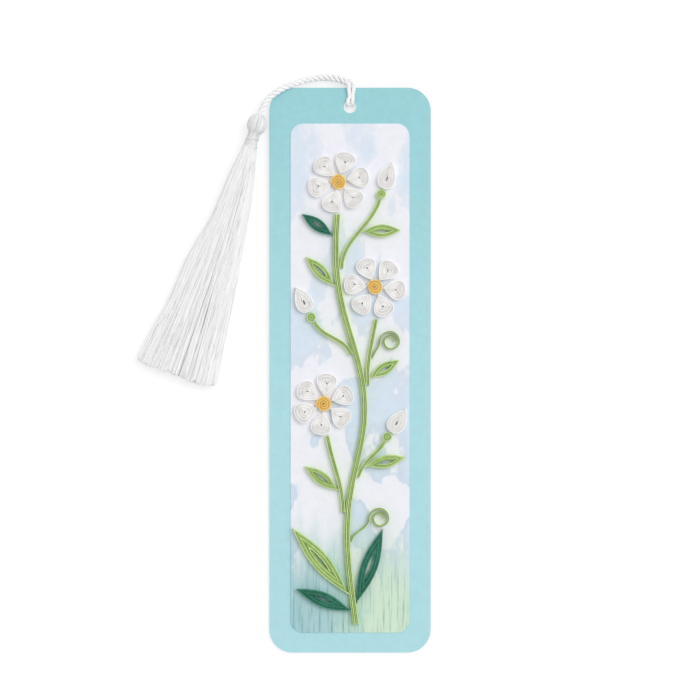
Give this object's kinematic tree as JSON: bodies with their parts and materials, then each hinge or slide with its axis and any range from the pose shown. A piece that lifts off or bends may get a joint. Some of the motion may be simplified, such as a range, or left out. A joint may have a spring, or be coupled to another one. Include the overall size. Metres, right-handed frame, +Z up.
{
  "type": "bookmark",
  "caption": "Flat card bookmark with rounded corners, a panel of quilled paper blossoms, leaves and stems, and a twisted cord with a floss tassel hitched through a hole at the top.",
  "frame": {"origin": "middle of the card's footprint, on the surface that the bookmark lies on", "axes": "+Y along the card towards the hole, +Z up out of the decorated face, +X to the right as the face is read"},
  "size_m": [0.093, 0.1825, 0.0066],
  "materials": {
    "aqua_card": "matte coloured card",
    "art_paper": "matte printed paper with a pale wash",
    "white_paper": "matte paper strip on edge",
    "gold_paper": "matte paper strip on edge",
    "light_green_paper": "matte paper strip on edge",
    "dark_green_paper": "matte paper strip on edge",
    "white_cord": "silky twisted cord",
    "white_floss": "silky floss"
  },
  "bodies": {
    "card": {"art_panel": "art_paper", "blossom_left_centre": "gold_paper", "blossom_left_petal_1": "white_paper", "blossom_left_petal_2": "white_paper", "blossom_left_petal_3": "white_paper", "blossom_left_petal_4": "white_paper", "blossom_left_petal_5": "white_paper", "blossom_left_petal_6": "white_paper", "blossom_right_centre": "gold_paper", "blossom_right_petal_1": "white_paper", "blossom_right_petal_2": "white_paper", "blossom_right_petal_3": "white_paper", "blossom_right_petal_4": "white_paper", "blossom_right_petal_5": "white_paper", "blossom_right_petal_6": "white_paper", "blossom_top_centre": "gold_paper", "blossom_top_petal_1": "white_paper", "blossom_top_petal_2": "white_paper", "blossom_top_petal_3": "white_paper", "blossom_top_petal_4": "white_paper", "blossom_top_petal_5": "white_paper", "blossom_top_petal_6": "white_paper", "bud_lower": "white_paper", "bud_middle": "white_paper", "bud_upper": "white_paper", "calyx_lower": "light_green_paper", "calyx_middle": "light_green_paper", "calyx_upper": "light_green_paper", "card": "aqua_card", "cord_hitch": "white_cord", "dark_leaf_1": "dark_green_paper", "dark_leaf_2": "dark_green_paper", "dark_leaf_3": "dark_green_paper", "leaf_1": "light_green_paper", "leaf_2": "light_green_paper", "leaf_3": "light_green_paper", "leaf_4": "light_green_paper", "leaf_5": "light_green_paper", "leaf_6": "light_green_paper", "stem_bud_lower": "light_green_paper", "stem_bud_middle": "light_green_paper", "stem_bud_upper": "light_green_paper", "stem_left": "light_green_paper", "stem_main": "light_green_paper", "stem_right": "light_green_paper", "tendril_1": "light_green_paper", "tendril_2": "light_green_paper"},
    "bight": {"cord_bight": "white_cord"},
    "rope": {"cord_rope": "white_cord"},
    "tassel": {"cord_knot": "white_cord", "tassel_head": "white_floss", "neck_binding": "white_floss", "tassel_skirt": "white_floss"}
  },
  "joints": [
    {"name": "cord_fold", "type": "hinge", "parent": "card", "child": "bight", "pos_m": [0, 0.09074, 0.00153], "axis": [-1, 0, 0], "range_deg": [0, 90]},
    {"name": "cord_swing", "type": "hinge", "parent": "bight", "child": "rope", "pos_m": [0, 0.09074, 0.00153], "axis": [0, 0, 1], "range_deg": [-170, 0]},
    {"name": "tassel_swing", "type": "hinge", "parent": "rope", "child": "tassel", "pos_m": [-0.02915, 0.0772, 0.00335], "axis": [0, 0, 1], "range_deg": [-110, 8]}
  ]
}
